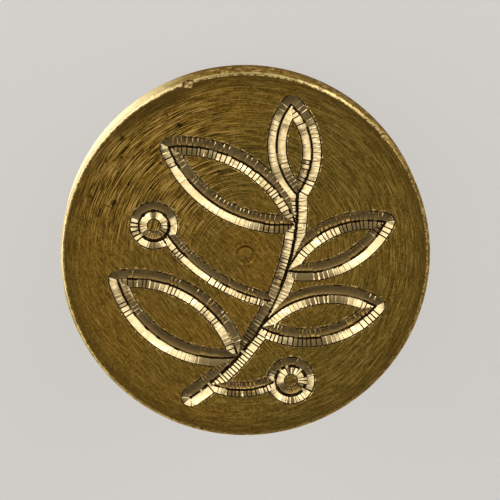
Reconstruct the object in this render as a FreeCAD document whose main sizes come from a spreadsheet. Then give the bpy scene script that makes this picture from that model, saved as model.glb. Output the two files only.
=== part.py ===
"""Seal stamp: an engraved brass head that screws onto a short turned handle.

Millimetres, +Z up. The stamp stands on the flat end of its handle, so the engraved face looks up.
The origin is the centre of that flat end. The top of the engraving's picture points to +Y.
"""
import FreeCAD, Part
import math
import os
import Sketcher
from FreeCAD import Placement, Rotation, Vector

SIZES = {
    # Head
    "head_diameter": 25.0,
    "head_length": 13.0,
    "rim_width": 4.0,
    "rim_chamfer": 0.2,
    "boss_diameter": 14.0,
    "boss_flare": 3.5,
    "boss_chamfer": 0.3,
    # Engraving
    "engraving_depth": 0.47,
    "engraving_angle": 114.0,
    "engraving_margin": 2.2,
    "engraving_overrun": 0.05,
    "berry_ring_radius": 1.03,
    # Screw joint
    "screw_diameter": 6.0,
    "screw_clearance": 0.05,
    "screw_reach": 8.75,
    "screw_end_gap": 0.25,
    "mouth_countersink": 0.5,
    "drill_point_angle": 118.0,
    # Stud
    "stud_length": 20.0,
    "stud_chamfer": 0.5,
    "socket_width": 3.0,
    "socket_depth": 2.5,
    # Ferrule
    "ferrule_length": 7.0,
    "ferrule_plate": 1.2,
    "ferrule_wall": 0.8,
    "ferrule_band": 1.8,
    "ferrule_band_rise": 0.6,
    "ferrule_lip": 1.3,
    "ferrule_flare": 1.0,
    "ferrule_hole_play": 0.25,
    # Insert
    "insert_wall": 1.45,
    "insert_length": 12.0,
    "barb_depth": 0.35,
    "barb_pitch": 3.2,
    "barb_length": 2.2,
    "barb_end_land": 1.5,
    # Handle
    "handle_length": 27.0,
    "foot_chamfer": 0.6,
    "belly_diameter": 17.2,
    "belly_taper": 6.0,
    "neck_cove": 2.6,
    "neck_flare": 0.4,
    "collar_width": 1.6,
    "collar_rise": 0.6,
    "tenon_wall": 0.75,
    "tenon_end_gap": 0.2,
    "glue_gap": 0.05,
    "bore_end_gap": 1.0,
}
BARB_COUNT = 3

# The motif, a leafy sprig with two berries. Places are shares of the motif's radius, from the face's centre.
# A stroke bends by its rise, a share of its chord, positive where the arc lies left of its own direction.
STEM_START_SHARES = (-0.36, -0.95)
STEM_END_SHARES = (0.34, 0.40)
STEM_RISE_SHARE = -0.13
# Each leaf: place along the stem, tip across, tip up, fullness of each side.
LEAF_SHARES = (
    (0.26, -0.84, -0.16, 0.19),
    (0.42, 0.86, -0.34, 0.18),
    (0.88, -0.50, 0.72, 0.17),
    (0.68, 0.92, 0.22, 0.17),
    (1.00, 0.30, 1.00, 0.19),
)
# Each berry: place along the stem, centre across, centre up, rise of its stalk.
BERRY_SHARES = (
    (0.54, -0.60, 0.20, 0.10),
    (0.10, 0.30, -0.84, -0.12),
)
# How deep the strokes run beside the stem, which is the deepest.
LEAF_DEPTH_SHARE = 0.91
BERRY_DEPTH_SHARE = 0.86
STALK_DEPTH_SHARE = 0.74

UP = Vector(0, 0, 1)
doc = FreeCAD.newDocument("seal_stamp")


def make_sheet():
    """The driving sizes, one aliased cell each."""
    sheet = doc.addObject("Spreadsheet::Sheet", "sizes")
    for row, (alias, value) in enumerate(SIZES.items(), start=1):
        sheet.set(f"A{row}", alias)
        sheet.set(f"B{row}", str(value))
        sheet.setAlias(f"B{row}", alias)
    doc.recompute()
    return sheet


sizes = make_sheet()


def value_of(expression):
    """The number that an expression in the sheet's sizes gives."""
    return float(sizes.evalExpression(expression))


def origin_plane(body, role):
    """One of the body's own origin planes."""
    return next(feature for feature in body.Origin.OriginFeatures if feature.Role == role)


def arc_about(start, end, radius):
    """The arc between two corners. A positive radius turns left on the way, a negative one right."""
    chord = end - start
    middle = (start + end) / 2
    left = Vector(-chord.y, chord.x, 0).normalize()
    reach = math.sqrt(max(radius * radius - chord.Length ** 2 / 4, 0))
    centre = middle + left * math.copysign(reach, radius)
    first, last = (start, end) if radius > 0 else (end, start)
    angles = [math.atan2(corner.y - centre.y, corner.x - centre.x) for corner in (first, last)]
    return Part.ArcOfCircle(Part.Circle(centre, UP, abs(radius)), *angles)


def pin_down(sketch, edge, end, across, along):
    """Fixes an edge's end at a place given by two expressions."""
    for kind, axis, expression in (("DistanceX", -2, across), ("DistanceY", -1, along)):
        if expression == "0":
            sketch.addConstraint(Sketcher.Constraint("PointOnObject", edge, end, axis))
            continue
        index = sketch.addConstraint(Sketcher.Constraint(kind, -1, 1, edge, end, value_of(expression)))
        sketch.setExpression(f"Constraints[{index}]", expression)


def turned_sketch(body, name, corners):
    """A closed outline in the body's XZ plane. Each corner is (radius, height), in expressions.
    A third item makes the edge that leads to the corner an arc: +1 or -1 for its side, and its radius."""
    sketch = body.newObject("Sketcher::SketchObject", name)
    sketch.AttachmentSupport = [(origin_plane(body, "XZ_Plane"), "")]
    sketch.MapMode = "FlatFace"
    points = [Vector(value_of(corner[0]), value_of(corner[1]), 0) for corner in corners]
    ends = []
    for index, corner in enumerate(corners):
        start, end = points[index - 1], points[index]
        if len(corner) == 2:
            edge = sketch.addGeometry(Part.LineSegment(start, end))
            ends.append((edge, 1, 2))
            continue
        side, radius = corner[2]
        edge = sketch.addGeometry(arc_about(start, end, side * value_of(radius)))
        ends.append((edge, 1, 2) if side > 0 else (edge, 2, 1))
        bend = sketch.addConstraint(Sketcher.Constraint("Radius", edge, value_of(radius)))
        sketch.setExpression(f"Constraints[{bend}]", radius)
    for index, corner in enumerate(corners):
        edge, _, end = ends[index]
        following, start, _ = ends[(index + 1) % len(corners)]
        sketch.addConstraint(Sketcher.Constraint("Coincident", edge, end, following, start))
        pin_down(sketch, edge, end, corner[0], corner[1])
    return sketch


def spin(body, kind, name, corners):
    """Revolves an outline about the body's own axis, to add or to cut."""
    sketch = turned_sketch(body, name + "_outline", corners)
    feature = body.newObject(f"PartDesign::{kind}", name)
    feature.Profile = sketch
    feature.ReferenceAxis = (sketch, ["V_Axis"])
    body.Tip = feature
    doc.recompute()
    return feature


def new_body(label, height):
    """A body on the stamp's axis, with its own zero at a height given by an expression."""
    body = doc.addObject("PartDesign::Body", label)
    body.Label = label
    body.setExpression("Placement.Base.z", height)
    doc.recompute()
    return body


def cuts_away(body, make):
    """Runs a cutting step and checks that it took material off."""
    before = body.Shape.Volume
    feature = make()
    doc.recompute()
    if not body.Shape.Volume < before:
        raise ValueError(f"{feature.Label} cuts nothing")
    return feature


# Heights and radii that more than one piece shares
SEAT = "(sizes.handle_length + sizes.ferrule_length)"
SCREW_RADIUS = "(sizes.screw_diameter / 2)"
THREAD_RADIUS = "(sizes.screw_diameter / 2 + sizes.screw_clearance)"
DRILL_POINT = "({radius} / tan(sizes.drill_point_angle / 2 * 1deg))"
SEAT_RADIUS = "(sizes.boss_diameter / 2)"
INSERT_RADIUS = f"({THREAD_RADIUS} + sizes.insert_wall)"
TENON_RADIUS = f"({INSERT_RADIUS} + sizes.glue_gap + sizes.tenon_wall)"
NECK_RADIUS = f"({TENON_RADIUS} + sizes.ferrule_wall)"
CUP_RADIUS = f"({TENON_RADIUS} + sizes.glue_gap)"
CUP_DEPTH = "(sizes.ferrule_length - sizes.ferrule_plate)"
TENON_LENGTH = f"({CUP_DEPTH} - sizes.tenon_end_gap)"


def make_handle():
    """Hardwood: flat foot, taper, ball shoulder, coved neck, collar under the ferrule, tenon and drilled bore."""
    body = new_body("handle", "0")
    ball = "(sizes.belly_diameter / 2)"
    taper = "(sizes.belly_taper * 1deg)"
    collar_low = "(sizes.handle_length - sizes.collar_width)"
    neck_low = f"({collar_low} - sizes.neck_cove)"
    ball_height = f"({neck_low} - sqrt({ball} ^ 2 - {NECK_RADIUS} ^ 2))"
    foot = f"({ball} / cos({taper}) - ({ball_height} - sizes.foot_chamfer) * tan({taper}))"
    collar_foot = f"{NECK_RADIUS} + sizes.neck_flare"
    cove_bend = "(sizes.neck_cove ^ 2 + sizes.neck_flare ^ 2) / (2 * sizes.neck_flare)"
    tenon_top = f"sizes.handle_length + {TENON_LENGTH}"
    spin(body, "Revolution", "turned_wood", (
        ("0", "0"),
        (f"{foot} - sizes.foot_chamfer", "0"),
        (foot, "sizes.foot_chamfer"),
        (f"{ball} * cos({taper})", f"{ball_height} - {ball} * sin({taper})"),
        (NECK_RADIUS, neck_low, (1, ball)),
        (collar_foot, collar_low, (-1, cove_bend)),
        (f"{collar_foot} + sizes.collar_rise", f"{collar_low} + sizes.collar_rise"),
        (f"{collar_foot} + sizes.collar_rise", "sizes.handle_length - sizes.collar_rise"),
        (collar_foot, "sizes.handle_length"),
        (TENON_RADIUS, "sizes.handle_length"),
        (TENON_RADIUS, tenon_top),
        ("0", tenon_top),
    ))
    bore = f"({INSERT_RADIUS} + sizes.glue_gap)"
    floor = f"({tenon_top} - sizes.insert_length - sizes.bore_end_gap)"
    cuts_away(body, lambda: spin(body, "Groove", "insert_bore", (
        ("0", f"{floor} - {DRILL_POINT.format(radius=bore)}"),
        (bore, floor),
        (bore, tenon_top),
        ("0", tenon_top),
    )))
    return body


def make_ferrule():
    """Brass cup over the tenon: bevelled band, plain wall, flared lip and a front plate with the stud's hole."""
    body = new_body("ferrule", "sizes.handle_length")
    wall = f"({CUP_RADIUS} + sizes.ferrule_wall)"
    lip_foot = "sizes.ferrule_length - sizes.ferrule_lip"
    hole = f"{THREAD_RADIUS} + sizes.ferrule_hole_play"
    spin(body, "Revolution", "turned_cup", (
        (CUP_RADIUS, "0"),
        (wall, "0"),
        (f"{wall} + sizes.ferrule_band_rise", "sizes.ferrule_band_rise"),
        (f"{wall} + sizes.ferrule_band_rise", "sizes.ferrule_band - sizes.ferrule_band_rise"),
        (wall, "sizes.ferrule_band"),
        (wall, f"{lip_foot} - sizes.ferrule_flare"),
        (SEAT_RADIUS, lip_foot),
        (SEAT_RADIUS, "sizes.ferrule_length - sizes.boss_chamfer"),
        (f"{SEAT_RADIUS} - sizes.boss_chamfer", "sizes.ferrule_length"),
        (hole, "sizes.ferrule_length"),
        (hole, CUP_DEPTH),
        (CUP_RADIUS, CUP_DEPTH),
    ))
    return body


def make_insert():
    """Brass bush in the handle's bore, flush with the tenon: threaded through, with ring barbs for the glue."""
    body = new_body("threaded_insert", f"sizes.handle_length + {TENON_LENGTH} - sizes.insert_length")
    spin(body, "Revolution", "bush", (
        (THREAD_RADIUS, "0"),
        (INSERT_RADIUS, "0"),
        (INSERT_RADIUS, "sizes.insert_length"),
        (f"{THREAD_RADIUS} + sizes.mouth_countersink", "sizes.insert_length"),
        (THREAD_RADIUS, "sizes.insert_length - sizes.mouth_countersink"),
    ))
    barb = cuts_away(body, lambda: spin(body, "Groove", "barb", (
        (f"{INSERT_RADIUS} - sizes.barb_depth", "sizes.barb_end_land"),
        (INSERT_RADIUS, "sizes.barb_end_land"),
        (INSERT_RADIUS, "sizes.barb_end_land + sizes.barb_length"),
    )))
    barbs = body.newObject("PartDesign::LinearPattern", "barbs")
    barbs.Originals = [barb]
    barbs.Direction = (origin_plane(body, "Z_Axis"), [""])
    barbs.Occurrences = BARB_COUNT
    barbs.setExpression("Length", f"sizes.barb_pitch * {BARB_COUNT - 1}")
    body.Tip = barbs
    doc.recompute()
    return body


def make_stud():
    """Steel grub screw with chamfered ends and a hexagon socket at the head's end."""
    body = new_body("stud", f"{SEAT} + sizes.screw_reach - sizes.stud_length")
    chamfer = "sizes.stud_chamfer"
    spin(body, "Revolution", "rod", (
        ("0", "0"),
        (f"{SCREW_RADIUS} - {chamfer}", "0"),
        (SCREW_RADIUS, chamfer),
        (SCREW_RADIUS, f"sizes.stud_length - {chamfer}"),
        (f"{SCREW_RADIUS} - {chamfer}", "sizes.stud_length"),
        ("0", "sizes.stud_length"),
    ))
    sketch = body.newObject("Sketcher::SketchObject", "hexagon")
    sketch.AttachmentSupport = [(origin_plane(body, "XY_Plane"), "")]
    sketch.MapMode = "FlatFace"
    sketch.setExpression("AttachmentOffset.Base.z", "sizes.stud_length")
    across_corners = "sizes.socket_width / 2 / cos(30deg)"
    radius = value_of(across_corners)
    ring = sketch.addGeometry(Part.Circle(Vector(), UP, radius), True)
    sketch.addConstraint(Sketcher.Constraint("Coincident", ring, 3, -1, 1))
    size = sketch.addConstraint(Sketcher.Constraint("Radius", ring, radius))
    sketch.setExpression(f"Constraints[{size}]", across_corners)
    corners = [Rotation(UP, turn).multVec(Vector(radius, 0, 0)) for turn in range(0, 360, 60)]
    sides = [sketch.addGeometry(Part.LineSegment(corners[k - 1], corners[k])) for k in range(len(corners))]
    for k, side in enumerate(sides):
        sketch.addConstraint(Sketcher.Constraint("Coincident", sides[k - 1], 2, side, 1))
        sketch.addConstraint(Sketcher.Constraint("PointOnObject", side, 2, ring))
    for side in sides[1:]:
        sketch.addConstraint(Sketcher.Constraint("Equal", sides[0], side))
    sketch.addConstraint(Sketcher.Constraint("PointOnObject", sides[0], 2, -1))

    def cut_socket():
        socket = body.newObject("PartDesign::Pocket", "socket")
        socket.Profile = sketch
        socket.setExpression("Length", "sizes.socket_depth")
        body.Tip = socket
        return socket

    cuts_away(body, cut_socket)
    return body


def make_head_blank():
    """The head as it leaves the lathe: rim, flare, boss, and a blind threaded bore from behind."""
    body = new_body("head_blank", SEAT)
    rim = "sizes.head_diameter / 2"
    rim_foot = "sizes.head_length - sizes.rim_width"
    spin(body, "Revolution", "turned_brass", (
        ("0", "0"),
        (f"{SEAT_RADIUS} - sizes.boss_chamfer", "0"),
        (SEAT_RADIUS, "sizes.boss_chamfer"),
        (SEAT_RADIUS, f"{rim_foot} - sizes.boss_flare"),
        (f"{SEAT_RADIUS} + sizes.boss_flare", rim_foot),
        (f"{rim} - sizes.rim_chamfer", rim_foot),
        (rim, f"{rim_foot} + sizes.rim_chamfer"),
        (rim, "sizes.head_length - sizes.rim_chamfer"),
        (f"{rim} - sizes.rim_chamfer", "sizes.head_length"),
        ("0", "sizes.head_length"),
    ))
    depth = "(sizes.screw_reach + sizes.screw_end_gap)"
    cuts_away(body, lambda: spin(body, "Groove", "thread_bore", (
        ("0", "0"),
        (f"{THREAD_RADIUS} + sizes.mouth_countersink", "0"),
        (THREAD_RADIUS, "sizes.mouth_countersink"),
        (THREAD_RADIUS, depth),
        ("0", f"{depth} + {DRILL_POINT.format(radius=THREAD_RADIUS)}"),
    )))
    return body


class Engraver:
    """Shapes the V-pointed cutter's strokes. The face is at zero height and the strokes lie below it."""

    def __init__(self):
        self.overrun = value_of("sizes.engraving_overrun")
        self.spread = math.tan(math.radians(value_of("sizes.engraving_angle") / 2))
        self.solids = []

    def half_width(self, depth):
        return (depth + self.overrun) * self.spread

    def section(self, place, across, depth, both_sides):
        """The cutter's triangle at a place, or the half of it that lies to one side."""
        tip = place - UP * depth
        top = place + UP * self.overrun
        side = top + across * self.half_width(depth)
        far_side = top - across * self.half_width(depth) if both_sides else top
        return Part.Face(Part.makePolygon([tip, side, far_side, tip]))

    def stroke(self, start, end, rise_share, depth):
        """A stroke along an arc. It gives back the directions in which it leaves and arrives."""
        chord = end - start
        along = Vector(chord).normalize()
        left = UP.cross(along)
        rise = rise_share * chord.Length
        radius = (chord.Length ** 2 / 4 + rise ** 2) / (2 * rise)
        centre = (start + end) / 2 + left * (rise - radius)
        sweep = -4 * math.degrees(math.atan(2 * rise_share))
        outward = (start - centre).normalize()
        self.solids.append(self.section(start, outward, depth, True).revolve(centre, UP, sweep))
        return [Rotation(UP, turn).multVec(along) for turn in (-sweep / 2, sweep / 2)]

    def corner(self, place, arriving, leaving, depth):
        """The sector of a cone that the cutter leaves on the outside of a sharp turn."""
        turn = math.degrees(math.atan2(UP.dot(arriving.cross(leaving)), arriving.dot(leaving)))
        outside = arriving.cross(UP) * math.copysign(1, turn)
        self.solids.append(self.section(place, outside, depth, False).revolve(place, UP, turn))

    def end(self, place, heading, depth):
        """The half cone at a stroke's free end."""
        self.solids.append(self.section(place, heading.cross(UP), depth, False).revolve(place, UP, 180))

    def ring(self, centre, radius, depth):
        """A closed round stroke."""
        across = Vector(1, 0, 0)
        self.solids.append(self.section(centre + across * radius, across, depth, True).revolve(centre, UP, 360))


def place_on_stem(start, end, share):
    """A point of the stem's arc, by its share of the arc's length."""
    chord = end - start
    sweep = -4 * math.atan(2 * STEM_RISE_SHARE)
    radius = chord.Length / 2 / math.sin(sweep / 2)
    left = UP.cross(chord).normalize()
    centre = (start + end) / 2 + left * radius * math.cos(sweep / 2)
    return centre + Rotation(UP, math.degrees(sweep * share)).multVec(start - centre)


def make_engraving():
    """All the strokes of the sprig as one cutting tool, set on the head's face."""
    scale = value_of("sizes.head_diameter / 2 - sizes.engraving_margin")
    stem_depth = value_of("sizes.engraving_depth")
    leaf_depth = stem_depth * LEAF_DEPTH_SHARE
    berry_depth = stem_depth * BERRY_DEPTH_SHARE
    stalk_depth = stem_depth * STALK_DEPTH_SHARE
    ring_radius = value_of("sizes.berry_ring_radius")
    tool = Engraver()

    stem_start = Vector(*STEM_START_SHARES, 0) * scale
    stem_end = Vector(*STEM_END_SHARES, 0) * scale
    leaving, arriving = tool.stroke(stem_start, stem_end, STEM_RISE_SHARE, stem_depth)
    tool.end(stem_start, -leaving, stem_depth)
    tool.end(stem_end, arriving, stem_depth)

    for share, tip_across, tip_up, fullness in LEAF_SHARES:
        base = place_on_stem(stem_start, stem_end, share)
        tip = Vector(tip_across, tip_up, 0) * scale
        _, arriving = tool.stroke(base, tip, fullness, leaf_depth)
        _, returning = tool.stroke(base, tip, -fullness, leaf_depth)
        tool.corner(tip, arriving, -returning, leaf_depth)

    for share, across, up, rise in BERRY_SHARES:
        base = place_on_stem(stem_start, stem_end, share)
        centre = Vector(across, up, 0) * scale
        tool.ring(centre, ring_radius, berry_depth)
        touch = centre + (base - centre).normalize() * ring_radius
        tool.stroke(base, touch, rise, stalk_depth)

    engraving = doc.addObject("Part::Feature", "engraving")
    engraving.Shape = tool.solids[0].multiFuse(tool.solids[1:]).removeSplitter()
    engraving.Placement = Placement(Vector(0, 0, value_of(f"{SEAT} + sizes.head_length")), Rotation())
    return engraving


def make_engraved_head():
    """The blank with the motif cut into its face."""
    blank = make_head_blank()
    engraving = make_engraving()
    head = doc.addObject("Part::Cut", "engraved_head")
    head.Label = "engraved_head"
    head.Base = blank
    head.Tool = engraving
    doc.recompute()
    if not head.Shape.Volume < blank.Shape.Volume:
        raise ValueError("the engraving cuts nothing")
    return head


def check(pieces):
    """Stops before anything is written if an object failed or a piece isn't one sound solid."""
    for item in doc.Objects:
        if {"Invalid", "Error"} & set(item.State):
            raise ValueError(f"{item.Label} failed: {item.State}")
    for piece in pieces:
        if piece.Shape.isNull() or not piece.Shape.isValid() or len(piece.Shape.Solids) != 1:
            raise ValueError(f"{piece.Label} is not one sound solid")


pieces = [make_handle(), make_ferrule(), make_insert(), make_stud(), make_engraved_head()]
doc.recompute()
check(pieces)
os.makedirs("parts", exist_ok=True)
for piece in pieces:
    piece.Shape.exportStep(f"parts/{piece.Label}.step")
    box = piece.Shape.BoundBox
    print(piece.Label, f"volume {piece.Shape.Volume:.1f}", f"z {box.ZMin:.2f} to {box.ZMax:.2f}")
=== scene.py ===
"""Looks of the seal stamp: engraved brass head, ferrule, insert, stud and turned handle.

Metres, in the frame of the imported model. The engraved face looks up, its picture's top points to +Y.
"""

import math
import random

import bmesh
import bpy
from bpy.props import FloatProperty, FloatVectorProperty, IntProperty, PointerProperty
from mathutils import Matrix, Vector


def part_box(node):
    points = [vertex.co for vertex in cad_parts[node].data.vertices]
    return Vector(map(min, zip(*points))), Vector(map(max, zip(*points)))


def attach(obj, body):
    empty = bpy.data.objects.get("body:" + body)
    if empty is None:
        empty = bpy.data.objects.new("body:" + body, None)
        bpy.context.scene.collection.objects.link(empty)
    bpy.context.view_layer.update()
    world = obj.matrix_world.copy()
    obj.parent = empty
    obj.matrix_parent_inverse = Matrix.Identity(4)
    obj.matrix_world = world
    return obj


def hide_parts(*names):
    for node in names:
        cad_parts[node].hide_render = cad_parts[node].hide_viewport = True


bl_info = {
    "name": "Seal stamp",
    "version": (1, 0, 0),
    "blender": (4, 5, 0),
    "location": "View3D > Sidebar > Seal stamp",
    "description": "Models the pieces of an engraved brass seal stamp and the stage it stands on",
    "category": "Object",
}

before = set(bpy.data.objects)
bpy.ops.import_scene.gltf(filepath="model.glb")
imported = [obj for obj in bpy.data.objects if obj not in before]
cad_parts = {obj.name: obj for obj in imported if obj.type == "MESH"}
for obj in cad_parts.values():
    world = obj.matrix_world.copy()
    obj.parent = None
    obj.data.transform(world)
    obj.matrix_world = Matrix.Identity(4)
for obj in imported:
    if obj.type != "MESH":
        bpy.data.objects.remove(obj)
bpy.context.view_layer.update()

MM = 0.001
UP = Vector((0, 0, 1))

# The motif, a leafy sprig with two berries. Places are shares of the motif's radius, from the face's centre.
# A stroke bends by its rise, a share of its chord, positive where the arc lies left of its own direction.
STEM_START_SHARES = (-0.36, -0.95)
STEM_END_SHARES = (0.34, 0.40)
STEM_RISE_SHARE = -0.13
# Each leaf: place along the stem, tip across, tip up, fullness of each side.
LEAF_SHARES = (
    (0.26, -0.84, -0.16, 0.19),
    (0.42, 0.86, -0.34, 0.18),
    (0.88, -0.50, 0.72, 0.17),
    (0.68, 0.92, 0.22, 0.17),
    (1.00, 0.30, 1.00, 0.19),
)
# Each berry: place along the stem, centre across, centre up, rise of its stalk.
BERRY_SHARES = (
    (0.54, -0.60, 0.20, 0.10),
    (0.10, 0.30, -0.84, -0.12),
)
# Nicks in the rim: direction in degrees from +X, and size beside the largest.
RIM_NICK_SHARES = (
    (108.3, 1.0),
    (44.4, 0.6),
    (40.8, 0.75),
    (197.0, 0.4),
    (256.0, 0.45),
)
# Scratches on the face: middle across and up, as shares of the face's radius, direction in degrees, and
# length beside the longest.
SCRATCH_SHARES = (
    (-0.31, -0.93, 35.0, 1.0),
    (-0.72, -0.60, 80.0, 0.5),
    (0.62, 0.55, 118.0, 0.7),
    (-0.20, 0.80, 160.0, 0.8),
    (0.70, -0.58, 50.0, 0.6),
    (-0.86, 0.22, 95.0, 0.7),
)


def length(name, description, millimetres):
    """A length property, given in millimetres."""
    return FloatProperty(
        name=name, description=description, default=millimetres * MM, min=0, precision=5, unit="LENGTH"
    )


def degrees(name, description, value):
    """An angle property, given in degrees."""
    return FloatProperty(
        name=name, description=description, default=math.radians(value), precision=3, unit="ROTATION"
    )


def number(name, description, value, top=1000.0):
    """A plain number property."""
    return FloatProperty(name=name, description=description, default=value, min=0, max=top)


def colour(name, description, red, green, blue):
    """A colour property, in linear light."""
    return FloatVectorProperty(
        name=name, description=description, default=(red, green, blue), min=0, max=1, size=3, subtype="COLOR"
    )


class SEAL_PG_head(bpy.types.PropertyGroup):
    """Sizes of the engraved head, apart from its engraving."""

    rim_width: length("Rim width", "Height of the head's plain rim", 4.0)
    rim_chamfer: length("Rim chamfer", "Chamfer of the rim's two edges", 0.2)
    boss_diameter: length("Boss diameter", "Width of the boss that seats on the ferrule", 14.0)
    boss_flare: length("Boss flare", "Height and depth of the flare under the rim", 3.5)
    boss_chamfer: length("Boss chamfer", "Chamfer of the boss's seat", 0.3)
    bore_radius: length("Bore radius", "Radius of the threaded bore", 3.05)
    bore_depth: length("Bore depth", "Depth of the bore, without the drill's point", 9.0)
    countersink: length("Countersink", "Width of the countersink at a bore's mouth", 0.5)
    point_angle: degrees("Drill point", "Whole angle of the drill's point", 118.0)
    nick_size: length("Nick size", "Radius of the largest nick in the rim", 0.42)
    scratch_length: length("Scratch length", "Length of the longest scratch on the face", 1.6)
    scratch_width: length("Scratch width", "Width of a scratch", 0.05)
    pip_radius: length("Pip radius", "Radius of the mark that the lathe leaves at the face's centre", 0.68)
    pip_depth: length("Pip depth", "Depth of that mark", 0.08)


class SEAL_PG_engraving(bpy.types.PropertyGroup):
    """How the V-pointed cutter engraves the face."""

    depth: length("Depth", "Depth to which the stem's two walls run together", 0.47)
    angle: degrees("Cutter angle", "Angle between the two walls of a stroke", 114.0)
    margin: length("Margin", "Plain border round the motif", 2.2)
    tip: length("Cutter tip", "Width of the cutter's flat tip", 0.14)
    leaf_tip: length("Leaf tip", "Width of the finer cutter's tip, for the leaves", 0.07)
    corner: length("Corner", "Height of the dark corner between tip and walls", 0.03)
    lip_width: length("Lip width", "Width of the rounded-over edge of a stroke", 0.075)
    lip_depth: length("Lip depth", "Depth of that edge", 0.02)
    lip_reach: length("Lip reach", "How far the rounding reaches over the face beside a stroke", 0.02)
    plate: length("Plate length", "Mean length of a facet on straight strokes", 0.24)
    leaf_plate: length("Leaf plate length", "Mean length of a facet on the leaves", 0.31)
    rib: length("Rib width", "Width of the rib that the cutter leaves between two facets", 0.09)
    rib_rise: length("Rib rise", "Height of that rib", 0.012)
    rib_depth: number("Rib depth", "How much shallower the stroke is at a rib, as a share", 0.06, 1.0)
    # Painted shade: the strong ribs on the walls that face this way are painted dark.
    rib_side: degrees("Rib side", "Direction that the walls with the dark ribs face", 60.0)
    chatter: number("Chatter", "Share of the strokes where the cutter chatters and leaves ribs", 0.5, 1.0)
    glide: number("Glide", "How uneven the facets are elsewhere, beside the chattering ones", 0.3, 1.0)
    lean: number("Lean", "How far a facet leans, sideways per depth", 0.07, 1.0)
    depth_error: number("Depth error", "How far a facet's depth is off, as a share", 0.06, 1.0)
    rock: number("Rock", "How far the depth changes from a facet's middle to its end, as a share", 0.018, 1.0)
    habit: number("Habit", "How far the engraver leans the cutter towards the picture's top", 0.25, 1.0)
    burr_width: length("Burr width", "Width of the burr along a stroke", 0.07)
    burr_height: length("Burr height", "Greatest height of that burr", 0.035)
    burr_step: length("Burr step", "Mean distance over which the burr's height changes", 0.1)
    berry_ring: length("Berry ring", "Radius of the round strokes", 1.03)
    leaf_depth: number("Leaf depth", "Depth of the leaves' strokes, as a share of the stem's", 0.91, 1.0)
    berry_depth: number("Berry depth", "Depth of the berries' strokes, as a share of the stem's", 0.86, 1.0)
    burr_gaps: number("Burr gaps", "Share of the edge that has no burr", 0.5, 1.0)
    stalk_depth: number("Stalk depth", "Depth of the stalks' strokes, as a share of the stem's", 0.74, 1.0)
    seed: IntProperty(name="Seed", description="Start of the facets' random differences", default=7)


class SEAL_PG_ferrule(bpy.types.PropertyGroup):
    """Sizes of the ferrule."""

    plate: length("Plate", "Thickness of the front plate", 1.2)
    wall: length("Wall", "Thickness of the cup's wall", 0.8)
    cup_radius: length("Cup radius", "Inner radius of the cup", 5.35)
    band: length("Band", "Width of the raised band", 1.8)
    band_rise: length("Band rise", "Height of the raised band", 0.6)
    lip: length("Lip", "Width of the lip under the head", 1.3)
    flare: length("Flare", "Height of the cone between wall and lip", 1.0)
    hole_radius: length("Hole radius", "Radius of the stud's hole", 3.3)


class SEAL_PG_insert(bpy.types.PropertyGroup):
    """Sizes of the threaded insert."""

    bore_radius: length("Bore radius", "Radius of the threaded bore", 3.05)
    barb_depth: length("Barb depth", "Depth of each ring barb", 0.35)
    barb_pitch: length("Barb pitch", "Distance between two barbs", 3.2)
    barb_length: length("Barb length", "Length of a barb's cone", 2.2)
    end_land: length("End land", "Plain length below the first barb", 1.5)
    barbs: IntProperty(name="Barbs", description="How many ring barbs it has", default=3, min=1)


class SEAL_PG_stud(bpy.types.PropertyGroup):
    """Sizes of the stud."""

    pitch: length("Pitch", "Pitch of the thread", 1.0)
    chamfer: length("Chamfer", "Chamfer of each end", 0.5)
    socket_width: length("Socket width", "Width across flats of the hexagon socket", 3.0)
    socket_depth: length("Socket depth", "Depth of the hexagon socket", 2.5)


class SEAL_PG_handle(bpy.types.PropertyGroup):
    """Sizes of the handle."""

    body_length: length("Length", "Length of the handle without its tenon", 27.0)
    foot_chamfer: length("Foot chamfer", "Chamfer of the flat end", 0.6)
    belly_diameter: length("Belly diameter", "Diameter of the ball shoulder", 17.2)
    belly_taper: degrees("Belly taper", "Slope of the side below the shoulder", 6.0)
    neck_radius: length("Neck radius", "Radius of the neck", 6.1)
    neck_cove: length("Neck cove", "Height of the hollow under the collar", 2.6)
    neck_flare: length("Neck flare", "How far the hollow flares out", 0.4)
    collar_width: length("Collar width", "Height of the collar", 1.6)
    collar_rise: length("Collar rise", "How far the collar stands out", 0.6)
    tenon_radius: length("Tenon radius", "Radius of the tenon inside the ferrule", 5.3)
    bore_radius: length("Bore radius", "Radius of the insert's bore", 4.55)
    bore_depth: length("Bore depth", "Depth of that bore from the tenon's end", 13.0)
    point_angle: degrees("Drill point", "Whole angle of the drill's point", 118.0)


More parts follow.
